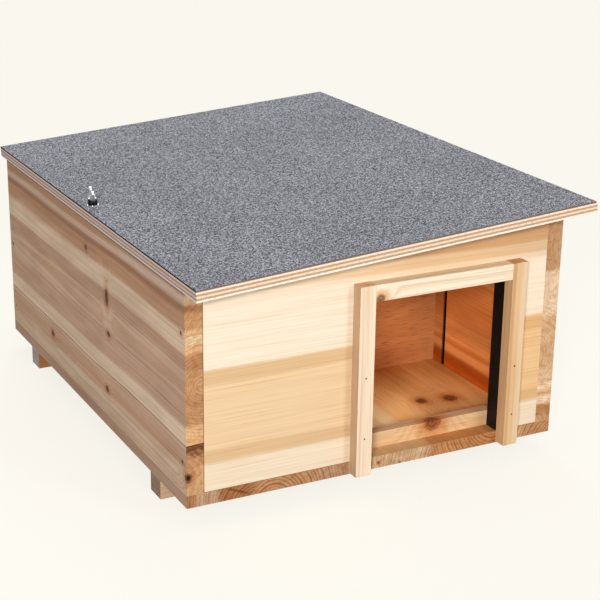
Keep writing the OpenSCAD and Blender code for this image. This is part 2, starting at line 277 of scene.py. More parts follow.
def shared_group(name, inputs, outputs):
    """A node group for all timbers: its tree, its input sockets and its output node."""
    tree = bpy.data.node_groups.new(name, "ShaderNodeTree")
    for socket in inputs:
        tree.interface.new_socket(socket, in_out="INPUT", socket_type="NodeSocketFloat")
    for socket in outputs:
        tree.interface.new_socket(socket, in_out="OUTPUT", socket_type="NodeSocketFloat")
    return tree, tree.nodes.new("NodeGroupInput").outputs, tree.nodes.new("NodeGroupOutput")


# Growth rings about a pith in or beside the board, with the fibres between. A grain's
# scales say how fast it changes for each metre along, across and through the board.
WAVER_GRAIN = (2.4, 11, 11)
FIBRE_GRAIN = (9, 700, 700)
STREAK_GRAIN = (1.6, 330, 330)
BANDS_PER_METRE = 48
BAND_ENDS, STREAK_ENDS = (0.36, 0.64), (0.48, 0.72)
UNEVEN_PACE, UNEVEN_YEARS = 0.31, 2.2
LATE_SEASON = (0.25, 0.84, 0.90, 1.0)
LEAST_LATE, MORE_LATE = 0.3, 0.7

rings, given, result = shared_group(
    "growth rings",
    ["Along", "Across", "Through", "Pith Across", "Pith Through", "Year", "Waver", "Bulge", "Seed"],
    ["Ring", "Fibre", "Band", "Streak"],
)
waver = grain_noise(rings, given, WAVER_GRAIN, 2.0)
waver = sums(rings, "MULTIPLY", sums(rings, "SUBTRACT", waver, 0.5), given["Waver"])
aside = sums(rings, "SUBTRACT", given["Across"], given["Pith Across"])
depth = sums(rings, "SUBTRACT", given["Through"], given["Pith Through"])
radius = sums(rings, "ADD", distance(rings, aside, depth), waver)
radius = sums(rings, "ADD", radius, given["Bulge"])
count = sums(rings, "DIVIDE", radius, given["Year"])
uneven = line_noise(rings, sums(rings, "MULTIPLY", count, UNEVEN_PACE))
count = sums(rings, "MULTIPLY_ADD", uneven, UNEVEN_YEARS, count)
late = between(rings, sums(rings, "FRACT", count), *LATE_SEASON)
vigour = add(rings, "TexWhiteNoise", {"W": sums(rings, "FLOOR", count)}, noise_dimensions="1D").outputs[0]
late = sums(rings, "MULTIPLY", late, sums(rings, "MULTIPLY_ADD", vigour, MORE_LATE, LEAST_LATE))
broad = line_noise(rings, sums(rings, "MULTIPLY_ADD", radius, BANDS_PER_METRE, given["Seed"]), 1.5)
streak = grain_noise(rings, given, STREAK_GRAIN, 2.0, 0.2)
fill(rings, result, {
    "Ring": late, "Fibre": grain_noise(rings, given, FIBRE_GRAIN, 3.0),
    "Band": span(rings, broad, *BAND_ENDS), "Streak": span(rings, streak, *STREAK_ENDS),
})

# A knot: a dark ringed disc that the grain runs round, with a stained rim. Where its
# parts end is given in its own radii.
KNOT_CORE_ENDS = (0.6, 1.15)
KNOT_RIM_ENDS = (0.9, 2.6)
KNOT_BULGE_ENDS, KNOT_BULGE_HIGH = (0.3, 4.5), 1.6
RAGS_PER_METRE, RAG_DEPTH = 260, 0.7
WHORLS, WHORL_DEPTH = 17, 0.16

knot_tree, given, result = shared_group(
    "knot",
    ["Along", "Across", "Through", "Centre Along", "Centre Across", "Centre Through", "Radius", "Stretch"],
    ["Core", "Rim", "Bulge"],
)
off_along = sums(knot_tree, "SUBTRACT", given["Along"], given["Centre Along"])
off_across = sums(knot_tree, "SUBTRACT", given["Across"], given["Centre Across"])
below = sums(knot_tree, "SUBTRACT", given["Through"], given["Centre Through"])
ragged = add(knot_tree, "CombineXYZ", {
    0: sums(knot_tree, "MULTIPLY", off_along, RAGS_PER_METRE),
    1: sums(knot_tree, "MULTIPLY", off_across, RAGS_PER_METRE),
}).outputs[0]
ragged = add(knot_tree, "TexNoise", {"Vector": ragged, "Scale": 1.0, "Detail": 2.0}).outputs[0]
away = distance(knot_tree, sums(knot_tree, "DIVIDE", off_along, given["Stretch"]), off_across)
away = distance(knot_tree, away, below)
away = sums(knot_tree, "DIVIDE", away, given["Radius"])
away = sums(knot_tree, "MULTIPLY_ADD", sums(knot_tree, "SUBTRACT", ragged, 0.5), RAG_DEPTH, away)
whorl = sums(knot_tree, "SINE", sums(knot_tree, "MULTIPLY", away, WHORLS))
whorl = sums(knot_tree, "MULTIPLY_ADD", whorl, WHORL_DEPTH, 1 - WHORL_DEPTH)
bulge = until(knot_tree, away, *KNOT_BULGE_ENDS)
fill(knot_tree, result, {
    "Core": product(knot_tree, until(knot_tree, away, *KNOT_CORE_ENDS), whorl),
    "Rim": until(knot_tree, away, *KNOT_RIM_ENDS),
    "Bulge": product(knot_tree, bulge, KNOT_BULGE_HIGH, given["Radius"]),
})


def use_group(tree, group, inputs):
    made = tree.nodes.new("ShaderNodeGroup")
    made.node_tree = group
    fill(tree, made, inputs)
    return made.outputs


def board_space(tree, corner, tilt=0.0):
    """Object coordinates measured from a board's lowest corner, and turned level with it."""
    place = add(tree, "TexCoord").outputs
    inputs = {"Vector": place["Object"], "Location": corner, "Rotation": (0, -tilt, 0)}
    local = add(tree, "Mapping", inputs, vector_type="TEXTURE").outputs[0]
    inputs = {"Vector": place["Normal"], "Rotation": (0, -tilt, 0)}
    facing = add(tree, "Mapping", inputs, vector_type="TEXTURE").outputs[0]
    return add(tree, "SeparateXYZ", {0: local}).outputs, add(tree, "SeparateXYZ", {0: facing}).outputs


def stepped(tree, value, width, stops, soft):
    """Colours from stop to stop across a board: each is (its upper edge, its colour)."""
    ramp = add(tree, "ValToRGB", {0: sums(tree, "DIVIDE", value, width)})
    colours = ramp.color_ramp.elements
    colours.remove(colours[-1])
    colours[0].position = 0
    colours[0].color = stops[0][1]
    for (edge, lower), (_, upper) in zip(stops, stops[1:]):
        colours.new(max(0.0, (edge - soft) / width)).color = lower
        colours.new(min(1.0, (edge + soft) / width)).color = upper
    return ramp.outputs[0]


TURNED_AWAY, TURNED_TOWARD = 0.6, 0.8


def toward(tree, facing, axis, sign):
    """A mask of the faces that look along an axis: sign 0 takes both directions."""
    amount = sums(tree, "MULTIPLY", facing[axis], sign) if sign else sums(tree, "ABSOLUTE", facing[axis])
    return span(tree, amount, TURNED_AWAY, TURNED_TOWARD)


def tinted(tree, colour, share, tint):
    return blend(tree, share, colour, (*tint, 1), "MULTIPLY")


def dimmed(tree, colour, level, share=1.0):
    """The colour made lighter or darker by a level that changes over the surface."""
    grey = add(tree, "CombineColor", {0: level, 1: level, 2: level}).outputs[0]
    return blend(tree, share, colour, grey, "MULTIPLY")


def darkened(tree, colour, value, place, half, tint=(0.34, 0.22, 0.14)):
    """A dark line where value comes within half of place: a glue line, a joint, or a painted shadow line."""
    return tinted(tree, colour, until(tree, apart(tree, value, place), half * 0.5, half), tint)


def surfaced(tree, height, strength, depth, inputs):
    """The last nodes of a material: a bumpy surface with the given colour and roughness."""
    bump = add(tree, "Bump", {"Strength": strength, "Distance": depth, "Height": height})
    shade = add(tree, "BsdfPrincipled", {"Normal": bump.outputs[0], **inputs})
    add(tree, "OutputMaterial", {"Surface": shade.outputs[0]})


DRIFT_GRAIN = (5, 16, 16)
CLOUD_GRAIN, CLOUD_RANGE = (12, 45, 45), (0.32, 0.68, 0.92, 1.05)
BAND_TINT = (0.84, 0.74, 0.64)
STREAK_TINT = (0.86, 0.72, 0.58)
FIBRE_ENDS, FIBRE_TINT = (0.46, 0.70), (0.84, 0.72, 0.56)
TORN_GRAIN, TORN_ENDS = (170, 170, 170), (0.42, 0.66)
TORN_SHARE, TORN_TINT = 0.6, (0.78, 0.60, 0.44)
KNOT_RIM_TINT = (0.80, 0.48, 0.25)
KNOT_SHARE = 0.92
RING_HIGH, FIBRE_HIGH, GRAIN_DEPTH = 0.5, 0.6, 0.0004
WOOD_ROUGH, RING_ROUGHER = 0.62, -0.08


def timber(name, along, across, tones, hearts, year=0.003, waver=0.012, soft=0.0015, slant=0.0, joints=(),
           ring_share=0.35, end_rings=0.8, streaks=0.4, band_share=0.35, fibres=0.6, clouds=0.0,
           late=(0.70, 0.52, 0.36), end=(0.80, 0.66, 0.50), side=(1, 1, 1), inside=None,
           knots=(), knot_heart=(0.10, 0.045, 0.035), knot_rim=0.8, seed=0.0, finish=None):
    """Solid softwood for one node: the same growth runs through its faces, edges and ends.

    tones and hearts are given from the node's low side across: (upper edge, colour) and
    (upper edge, pith across, pith through). finish may rework the colour before it is used.
    """
    corner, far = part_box(name)
    through = ({"X", "Y", "Z"} - {along, across}).pop()
    width = getattr(far - corner, across.lower())
    material, tree = blank_material(name.replace("_", " ") + " timber")
    local, facing = board_space(tree, corner)
    place = {"Along": local[along], "Across": local[across], "Through": local[through]}
    given = {**place, "Seed": seed}
    bulge, cores, rims = 0.0, 0.0, 0.0
    for centre_along, centre_across, centre_through, radius, stretch in knots:
        knot = use_group(tree, knot_tree, {
            **place, "Centre Along": centre_along, "Centre Across": centre_across,
            "Centre Through": centre_through, "Radius": radius, "Stretch": stretch,
        })
        bulge = sums(tree, "ADD", bulge, knot["Bulge"])
        cores = sums(tree, "MAXIMUM", cores, knot["Core"])
        rims = sums(tree, "MAXIMUM", rims, knot["Rim"])

    # A colour ramp holds each board's pith, so it is moved up by half to stay above nought
    level = sums(tree, "MULTIPLY_ADD", local[along], slant, local[across])
    piths = [(edge, (aside + 0.5, depth + 0.5, 0, 1)) for edge, aside, depth in hearts]
    pith = add(tree, "SeparateColor", {0: stepped(tree, level, width, piths, 0.0002)}).outputs
    grown = use_group(tree, rings, {
        **given, "Bulge": bulge, "Year": year, "Waver": waver,
        "Pith Across": sums(tree, "SUBTRACT", pith[0], 0.5),
        "Pith Through": sums(tree, "SUBTRACT", pith[1], 0.5),
    })

    drift = sums(tree, "SUBTRACT", grain_noise(tree, given, DRIFT_GRAIN, 2.0), 0.5)
    level = sums(tree, "MULTIPLY_ADD", drift, 4 * soft, level)
    colour = stepped(tree, level, width, tones, soft)
    cloud = span(tree, grain_noise(tree, given, CLOUD_GRAIN, 3.0, 0.8), *CLOUD_RANGE)
    colour = dimmed(tree, colour, cloud, clouds)
    sawn_end = toward(tree, facing, along, 0)
    share = span(tree, sawn_end, 0.0, 1.0, ring_share, end_rings)
    colour = tinted(tree, colour, product(tree, grown["Ring"], share), late)
    colour = tinted(tree, colour, product(tree, grown["Band"], band_share), BAND_TINT)
    colour = tinted(tree, colour, product(tree, grown["Streak"], streaks), STREAK_TINT)
    fibre = span(tree, grown["Fibre"], *FIBRE_ENDS)
    colour = tinted(tree, colour, product(tree, fibre, fibres), FIBRE_TINT)

    colour = tinted(tree, colour, sawn_end, end)
    torn = span(tree, grain_noise(tree, given, TORN_GRAIN, 4.0, 0.5), *TORN_ENDS)
    colour = tinted(tree, colour, product(tree, torn, TORN_SHARE, sawn_end), TORN_TINT)
    # side tints the faces that look across the board: painted light and shade on those faces.
    colour = tinted(tree, colour, toward(tree, facing, across, 0), side)
    # inside tints the faces turned into the house, past start: painted light, such as the orange glow
    # inside.
    if inside:
        axis, sign, start, tint = inside
        past_start = span(tree, local[along], start, start + 0.001)
        colour = tinted(tree, colour, product(tree, toward(tree, facing, axis, sign), past_start), tint)
    for joint, half in joints:
        colour = darkened(tree, colour, level, joint, half)
    if knots:
        colour = tinted(tree, colour, product(tree, rims, knot_rim), KNOT_RIM_TINT)
        colour = blend(tree, product(tree, cores, KNOT_SHARE), colour, (*knot_heart, 1))
    if finish:
        colour = finish(tree, colour, local, facing)

    height = sums(tree, "MULTIPLY", grown["Fibre"], FIBRE_HIGH)
    height = sums(tree, "MULTIPLY_ADD", grown["Ring"], RING_HIGH, height)
    rough = sums(tree, "MULTIPLY_ADD", grown["Ring"], RING_ROUGHER, WOOD_ROUGH)
    surfaced(tree, height, 0.35, GRAIN_DEPTH, {
        "Base Color": colour, "Roughness": rough, "Specular IOR Level": 0.25,
    })
    return material


LEDGE_BACK = 0.018
LEDGE_EDGE, LEDGE_TINT = (LEDGE_BACK - 0.001, LEDGE_BACK + 0.001), (0.84, 0.68, 0.50)
LEFT_PART_EDGE, LEFT_FLOOR_PAINTED_SHADE = (0.258, 0.276), (0.94, 0.86, 0.80)
RIGHT_PART_EDGE, RIGHT_FLOOR_PAINTED_SHADE = (0.345, 0.362), (0.76, 0.60, 0.42)
BACK_PART_EDGE, BACK_FLOOR_PAINTED_SHADE = (0.10, 0.20), (0.66, 0.52, 0.36)
RESIN_SLOPE, RESIN_LEVEL, RESIN_HALF = 0.42, 0.0298, (0.0002, 0.0022)
RESIN_ENDS, RESIN_TINT = (0.038, 0.046, 0.060, 0.067), (0.62, 0.42, 0.28)


def ledge_resin_and_floor_shade(tree, colour, local, facing):
    """A browner top on the doorway ledge, a resin streak in front, and painted shade on the floor inside."""
    slope = sums(tree, "MULTIPLY_ADD", local["X"], RESIN_SLOPE, local["Z"])
    resin = until(tree, apart(tree, slope, RESIN_LEVEL), *RESIN_HALF)
    resin = product(tree, resin, toward(tree, facing, "Y", -1), between(tree, local["X"], *RESIN_ENDS))
    colour = tinted(tree, colour, resin, RESIN_TINT)
    top = toward(tree, facing, "Z", 1)
    ledge = product(tree, top, until(tree, local["Y"], *LEDGE_EDGE))
    colour = tinted(tree, colour, ledge, LEDGE_TINT)
    # Painted shade on the floor inside: a little on its left part, more on its right part, most towards the
    # back.
    indoors = product(tree, top, span(tree, local["Y"], *LEDGE_EDGE))
    left_part = product(tree, indoors, until(tree, local["X"], *LEFT_PART_EDGE))
    colour = tinted(tree, colour, left_part, LEFT_FLOOR_PAINTED_SHADE)
    right_part = product(tree, indoors, span(tree, local["X"], *RIGHT_PART_EDGE))
    colour = tinted(tree, colour, right_part, RIGHT_FLOOR_PAINTED_SHADE)
    back_part = product(tree, top, span(tree, local["Y"], *BACK_PART_EDGE))
    return tinted(tree, colour, back_part, BACK_FLOOR_PAINTED_SHADE)


# The side tint lightens the base's side edges, and the inside tint lightens its top within the house:
# painted light.
base_wood = timber(
    "base_board", "Y", "X",
    tones=[
        (0.010, dye(190, 147, 106)), (0.032, dye(222, 196, 170)), (0.070, dye(192, 142, 98)),
        (0.140, dye(212, 172, 130)), (0.172, dye(204, 172, 144)), (0.268, dye(236, 208, 174)),
        (0.352, dye(216, 164, 112)), (0.380, dye(240, 206, 164)), (0.414, dye(222, 180, 136)),
    ],
    hearts=[
        (0.032, 0.100, 0.000), (0.071, 0.078, -0.016), (0.172, 0.090, -0.011),
        (0.268, 0.400, -0.040), (0.352, 0.343, 0.026), (0.414, 0.425, -0.015),
    ],
    year=0.0034, waver=0.010, soft=0.004, ring_share=0.26, end_rings=0.95, late=(0.56, 0.36, 0.22),
    end=(0.84, 0.76, 0.68), side=(1.10, 1.32, 1.95), inside=("Z", 1, LEDGE_BACK, (1.74, 1.82, 1.62)),
    knots=[
        (0.1007, 0.3176, 0.013, 0.0066, 1.1), (0.0943, 0.3505, 0.013, 0.0086, 1.1),
        (0.0, 0.2067, 0.0054, 0.0017, 1.0), (0.0, 0.2317, 0.0012, 0.0010, 1.0),
    ],
    knot_heart=(0.085, 0.022, 0.010), clouds=1.0, seed=3.0, finish=ledge_resin_and_floor_shade,
)
BOARD_EDGE = 0.0005
eased("base_board", BOARD_EDGE, base_wood)

# The feet: two planed battens screwed across the underside of the base. The back one is
# painted darker, as shade under the base. Each has its own tone, end tint and side tint.
# Besides end grain, the end and side tints paint light and shade on the feet: darker faces on the back foot,
# and ends set lighter or darker to the light.
FOOT_LOOKS_AND_SHADE = {
    "front_foot": (dye(226, 190, 158), (0.53, 0.57, 0.68), (1, 1, 1)),
    "back_foot": (dye(190, 166, 148), (1.06, 1.30, 1.80), (0.84, 0.50, 0.24)),
}
for seed, (name, (tone, end, side)) in enumerate(FOOT_LOOKS_AND_SHADE.items(), 20):
    foot_wood = timber(name, "X", "Y", [(1.0, tone)], [(1.0, 0.01, -0.03)], end=end, side=side, seed=seed)
    eased(name, BOARD_EDGE, foot_wood)

# The side walls: edge-glued boards with their grain running back, each sawn to the
# slope of the lid. Their ends show at the front, past the front wall.
# The walls' inner faces are painted warmer and more orange: a painted glow of the light inside the house.
INSIDE_PAINTED_GLOW = (1.0, 0.80, 0.58)
left_low, left_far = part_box("left_wall")
WALL_THICK = left_far.x - left_low.x
LEFT_HIGH = 0.2
LEFT_TONES = [
    (0.028, dye(230, 198, 168)), (0.050, dye(216, 175, 144)), (0.070, dye(246, 216, 184)),
    (0.100, dye(214, 174, 144)), (0.126, dye(226, 190, 160)), (0.143, dye(206, 164, 134)),
    (0.165, dye(240, 208, 176)), (0.182, dye(204, 158, 124)), (0.189, dye(176, 130, 98)),
    (0.197, dye(224, 192, 168)), (0.212, dye(190, 146, 110)),
]
LEFT_HEARTS = [(0.053, 0.018, -0.006), (0.161, 0.1087, 0.0165), (0.200, 0.150, 0.045)]
LEFT_KNOTS = [
    (0.2035, 0.133, 0, 0.0105, 0.46), (0.201, 0.094, 0, 0.0034, 1.6), (0.386, 0.032, 0, 0.0040, 1.5),
    (0.2095, 0.030, 0, 0.0038, 1.4), (0.262, 0.1695, 0, 0.0032, 1.0), (0.0, 0.0186, 0.0014, 0.0052, 1.0),
]
LEFT_NAIL_STAINS = [
    (0.009, 0.032, 0, 0.0022, 1.0), (0.009, 0.160, 0, 0.0024, 1.0), (0.527, 0.099, 0, 0.0028, 1.0),
]
OUTER_TINT = (0.97, 1.03, 1.12)
GLUE_LINE, GLUE_HALF = 0.0515, 0.0006
STAIN_FOOT, STAIN_SHARE, STAIN_TINT = (0.036, 0.048), 0.9, (0.24, 0.11, 0.06)
STAIN_TONGUES, TONGUE_LONG = 260.0, 0.022
PALE_BAND, PALE_TINT = (0.149, 0.152, 0.158, 0.160), (1.12, 1.36, 1.70)
TOP_PART_EDGE, TOP_PART_TINT = (0.160, 0.163), (1.14, 1.34, 1.46)
SPOT_OUT, SPOT_UP, SPOT_EDGE, SPOT_RAG = 0.0010, 0.0186, (0.0014, 0.0036), 0.12
SPOT_COLOUR = (0.018, 0.007, 0.005, 1)
SHADOW_LINE = 0.0009


def left_joints(tree, colour, local, facing):
    """A feathered stain under the glue line, and painted shadow lines under the lid and by the front wall.
    """
    front = toward(tree, facing, "Y", -1)
    place = add(tree, "TexCoord").outputs["Object"]
    ragged = add(tree, "TexNoise", {"Vector": place, "Scale": STAIN_TONGUES, "Detail": 3.0}).outputs[0]
    ragged = sums(tree, "MULTIPLY", sums(tree, "SUBTRACT", ragged, 0.5), TONGUE_LONG)
    stain = span(tree, sums(tree, "ADD", ragged, local["Z"]), *STAIN_FOOT)
    stain = product(tree, stain, until(tree, local["Z"], GLUE_LINE - 0.0003, GLUE_LINE + 0.0001), front)
    colour = tinted(tree, colour, product(tree, stain, STAIN_SHARE), STAIN_TINT)
    colour = tinted(tree, colour, toward(tree, facing, "X", -1), OUTER_TINT)
    pale = product(tree, between(tree, local["Z"], *PALE_BAND), front)
    colour = tinted(tree, colour, pale, PALE_TINT)
    top_part = product(tree, span(tree, local["Z"], *TOP_PART_EDGE), front)
    colour = tinted(tree, colour, top_part, TOP_PART_TINT)
    off_up = sums(tree, "SUBTRACT", local["Z"], SPOT_UP)
    off_spot = distance(tree, off_up, sums(tree, "SUBTRACT", local["X"], SPOT_OUT))
    off_spot = sums(tree, "MULTIPLY_ADD", ragged, SPOT_RAG, off_spot)
    spot = product(tree, until(tree, off_spot, *SPOT_EDGE), front)
    colour = blend(tree, spot, colour, SPOT_COLOUR)
    # Painted shadow lines under the lid and where the wall's end meets the front wall.
    colour = darkened(tree, colour, local["Z"], LEFT_HIGH, SHADOW_LINE)
    return darkened(tree, colour, local["X"], WALL_THICK, SHADOW_LINE)


# Its inner face takes the painted inside glow.
left_wood = timber(
    "left_wall", "Y", "Z", LEFT_TONES, LEFT_HEARTS, year=0.0030, waver=0.012, soft=0.0022, slant=0.015,
    joints=[(GLUE_LINE, GLUE_HALF)], ring_share=0.4, end_rings=0.5, band_share=0.45, late=(0.70, 0.48, 0.32),
    end=(0.86, 0.75, 0.57), inside=("X", 1, 0.0, INSIDE_PAINTED_GLOW), clouds=1.0,
    knots=LEFT_KNOTS + LEFT_NAIL_STAINS, knot_heart=(0.036, 0.014, 0.011), knot_rim=0.5,
    seed=7.0, finish=left_joints,
)
eased("left_wall", BOARD_EDGE, left_wood)

RIGHT_TONES = [
    (0.006, dye(212, 168, 126)), (0.020, dye(198, 146, 98)), (0.030, dye(250, 222, 188)),
    (0.036, dye(226, 176, 130)), (0.044, dye(250, 220, 184)), (0.060, dye(236, 202, 164)),
    (0.118, dye(226, 186, 144)), (0.166, dye(246, 218, 184)), (0.232, dye(206, 162, 122)),
]
RIGHT_HEARTS = [
    (0.049, 0.000, 0.001), (0.136, 0.075, -0.014), (0.166, 0.150, -0.080), (0.232, 0.190, 0.050),
]
GROOVE_MIDDLE, GROOVE_HALF, GROOVE_DEEP = 0.1804, 0.0022, 0.005
GROOVE_BACK = GROOVE_MIDDLE + GROOVE_HALF
GROOVE_PAINTED_SHADE = (0.012, 0.002, 0.001, 1)
GROOVE_LIP_PAINTED_SHADE = (0.26, 0.14, 0.10)
LOW_PART_EDGE, LOW_PART_TINT = (0.010, 0.023), (0.88, 0.60, 0.16)
PAINTED_LIGHT_LOW_TO_HIGH = (0.03, 0.17, 0.84, 1.16)
BEHIND_GROOVE_PAINTED_SHADE = (0.72, 0.76, 0.80)
PARTITION_THERE, PAST_PARTITION_GLOW_UNDONE = (0.2015, 0.2105), (1.2, 2.0, 3.6)


def right_groove(tree, colour, local, facing):
    """A spare groove painted black inside as shade, and painted light and shade on the wall's inner face."""
    along_groove = apart(tree, local["Y"], GROOVE_MIDDLE)
    within = until(tree, along_groove, GROOVE_HALF + 0.0001, GROOVE_HALF + 0.0004)
    shallow = until(tree, local["X"], GROOVE_DEEP + 0.0002, GROOVE_DEEP + 0.0004)
    in_groove = product(tree, within, shallow)
    # The groove is painted black inside: painted shade deep in it.
    black = product(tree, in_groove, span(tree, local["X"], 0.0001, 0.0006))
    colour = blend(tree, black, colour, GROOVE_PAINTED_SHADE)
    # The inner face is darker and more orange low down.
    inner_face_painted = tinted(tree, colour, until(tree, local["Z"], *LOW_PART_EDGE), LOW_PART_TINT)
    # Painted light and shade up the inner face: darker low down, lighter high up.
    inner_face_painted = dimmed(tree, inner_face_painted, span(tree, local["Z"], *PAINTED_LIGHT_LOW_TO_HIGH))
    # Painted shade on the inner face from the groove back.
    behind = span(tree, local["Y"], GROOVE_BACK, GROOVE_BACK + 0.001)
    inner_face_painted = tinted(tree, inner_face_painted, behind, BEHIND_GROOVE_PAINTED_SHADE)
    # Past the partition the painted orange glow and shade are taken back out.
    past_partition = span(tree, local["Y"], *PARTITION_THERE)
    inner_face_painted = tinted(tree, inner_face_painted, past_partition, PAST_PARTITION_GLOW_UNDONE)
    # A painted shadow line along the groove's back lip.
    inner_face_painted = darkened(tree, inner_face_painted, local["Y"], GROOVE_BACK, GROOVE_HALF, GROOVE_LIP_PAINTED_SHADE)
    inner = sums(tree, "MAXIMUM", toward(tree, facing, "X", -1), in_groove)
    return blend(tree, inner, colour, inner_face_painted)


# The inner face is painted a strong orange: a painted glow of the light inside the house.
right_wood = timber(
    "right_wall", "Y", "Z", RIGHT_TONES, RIGHT_HEARTS, year=0.0034, waver=0.014, soft=0.0022,
    ring_share=0.28, end_rings=0.45, band_share=0.3, end=(0.95, 0.97, 0.98),
    inside=("X", -1, 0.0, (1.18, 0.60, 0.26)), clouds=1.0, seed=11.0, finish=right_groove,
)
eased("right_wall", BOARD_EDGE, right_wood)

# The front wall: a broad pale board with a band of warmer wood across its middle.
# The doorway is cut with a beam that leaves its edges charred black.
FRONT_TONES = [
    (0.0285, dye(242, 222, 194)), (0.042, dye(224, 188, 143)), (0.108, dye(238, 206, 164)),
    (0.123, dye(226, 189, 143)), (0.192, dye(250, 232, 208)), (0.198, dye(240, 212, 172)),
    (0.203, dye(242, 216, 182)), (0.213, dye(226, 186, 140)), (0.230, dye(220, 180, 136)),
]
FRONT_HEARTS = [(0.0285, 0.02, 0.09), (0.123, 0.075, 0.10), (0.230, 0.20, 0.12)]
WARM_SIDE, WARM_BAND, WARM_TINT = (0.28, 0.36), (0.026, 0.034, 0.122, 0.127), (1.0, 0.90, 0.76)
# Tan streaks and painted shade under the lid, at the top right of the wall.
ABOVE_SIDE, ABOVE_FOOT, TAN_AND_LID_SHADE_TINT = (0.13, 0.24), (0.180, 0.190), (0.85, 0.77, 0.69)
CHAR_REACH = 0.0009
CHAR, ASH = (0.002, 0.0012, 0.001, 1), (0.030, 0.014, 0.008, 1)
BEAM_SCRATCHES = (60, 90, 700)
front_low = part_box("front_wall")[0]
lintel_low, lintel_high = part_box("door_lintel")
DOORWAY_MIDDLE = (lintel_low.x + lintel_high.x) / 2 - front_low.x
DOORWAY_HALF = (lintel_high.x - lintel_low.x) / 2
DOORWAY_TOP = lintel_low.z - front_low.z


def charred_doorway(tree, colour, local, facing):
    """Char round the doorway, warmer wood beside it, tan streaks and painted shade under the lid above it,
    and a painted shadow line along the base.
    """
    warm = product(tree, span(tree, local["X"], *WARM_SIDE), between(tree, local["Z"], *WARM_BAND))
    colour = tinted(tree, colour, warm, WARM_TINT)
    above = product(tree, span(tree, local["X"], *ABOVE_SIDE), span(tree, local["Z"], *ABOVE_FOOT))
    colour = tinted(tree, colour, above, TAN_AND_LID_SHADE_TINT)
    past_side = sums(tree, "SUBTRACT", apart(tree, local["X"], DOORWAY_MIDDLE), DOORWAY_HALF)
    past_top = sums(tree, "SUBTRACT", local["Z"], DOORWAY_TOP)
    burnt = until(tree, sums(tree, "MAXIMUM", past_side, past_top), 0.0, CHAR_REACH)
    scratches = {"Vector": add(tree, "TexCoord").outputs["Object"], "Scale": BEAM_SCRATCHES}
    scratches = {"Vector": add(tree, "Mapping", scratches).outputs[0], "Scale": 1.0, "Detail": 2.0}
    scratches = add(tree, "TexNoise", scratches).outputs[0]
    soot = blend(tree, span(tree, scratches, 0.62, 0.80), CHAR, ASH)
    colour = blend(tree, burnt, colour, soot)
    # A painted shadow line along the foot of the wall, by the base.
    return darkened(tree, colour, local["Z"], 0.0, SHADOW_LINE)


# Its inner face takes the painted inside glow.
front_wood = timber(
    "front_wall", "X", "Z", FRONT_TONES, FRONT_HEARTS, year=0.0042, waver=0.010, soft=0.0016, slant=0.004,
    ring_share=0.13, band_share=0.08, streaks=0.17, fibres=0.5, inside=("Y", 1, 0.0, INSIDE_PAINTED_GLOW),
    seed=2.0, finish=charred_doorway,
)
eased("front_wall", BOARD_EDGE, front_wood)

# The back wall: two softwood boards glued edge to edge, sawn to the lid's slope like
# the front wall but without an opening. It is nailed between the side walls.
# Its inner face takes the painted inside glow.
back_wood = timber(
    "back_wall", "X", "Z", FRONT_TONES, [(0.11, 0.05, -0.06), (0.230, 0.17, 0.07)], year=0.0036,
    waver=0.020, soft=0.002, ring_share=0.4, inside=("Y", -1, 0.0, INSIDE_PAINTED_GLOW), joints=[(0.11, 0.0004)],
    knots=[(0.110, 0.060, 0.018, 0.005, 1.4), (0.290, 0.150, 0.018, 0.004, 1.4)], seed=31.0,
)
eased("back_wall", BOARD_EDGE, back_wood)

# The partition: reddish rotary-cut plywood, with short dark pores along its grain and
# pale and dark plies on its edges. It stands behind the doorway, nailed from the right
# wall and from below.
PLY_BLUR = 0.02
GRIT_GRAIN, GRIT_RANGE = (260, 260, 2600), (0.35, 0.70, 1.06, 0.72)
WAVE_GRAIN, WAVE_ENDS = (4, 22, 0), (0.35, 0.70)
PORE_GRAIN, PORE_ENDS = (60, 820, 0), (0.50, 0.74)
PORE_SHARE, PORE_DEPTH = 0.6, 0.0003


def plywood(name, corner, along, through, thick, plies, face, pore, tilt=0.0, seed=0.0,
            low_edge_shade=(1, 1, 1), painted_shade_ramp=(0, 1, 1, 1)):
    """Plies that show on the edges, and a peeled veneer on both faces."""
    material, tree = blank_material(name)
    local, facing = board_space(tree, corner, tilt)
    across = ({"X", "Y", "Z"} - {along, through}).pop()

    given = {"Along": local[along], "Across": local[across], "Through": local[through]}

    stops = [((i + 1) / len(plies), ply) for i, ply in enumerate(plies)]
    edge = stepped(tree, sums(tree, "DIVIDE", local[through], thick), 1.0, stops, PLY_BLUR)
    grit = grain_noise(tree, {**given, "Seed": 0.0}, GRIT_GRAIN, 3.0)
    edge = dimmed(tree, edge, span(tree, grit, *GRIT_RANGE))
    # The edge on the low side takes a tint: painted shade where it is given.
    edge = tinted(tree, edge, toward(tree, facing, across, -1), low_edge_shade)

    wave = grain_noise(tree, {**given, "Seed": seed}, WAVE_GRAIN, 3.0, 0.6)
    veneer = blend(tree, span(tree, wave, *WAVE_ENDS), *face)
    dash = span(tree, grain_noise(tree, {**given, "Seed": seed}, PORE_GRAIN, 2.0), *PORE_ENDS)
    veneer = blend(tree, product(tree, dash, PORE_SHARE), veneer, pore)
    # A darkening along the board, where given: painted shade.
    veneer = dimmed(tree, veneer, span(tree, local[along], *painted_shade_ramp))

    on_face = span(tree, sums(tree, "ABSOLUTE", facing[through]), 0.5, 0.8)
    colour = blend(tree, on_face, edge, veneer)
    height = product(tree, sums(tree, "SUBTRACT", 1.0, dash), on_face)
    surfaced(tree, height, 0.4, PORE_DEPTH, {
        "Base Color": colour, "Roughness": 0.62, "Specular IOR Level": 0.3,
    })
    return material


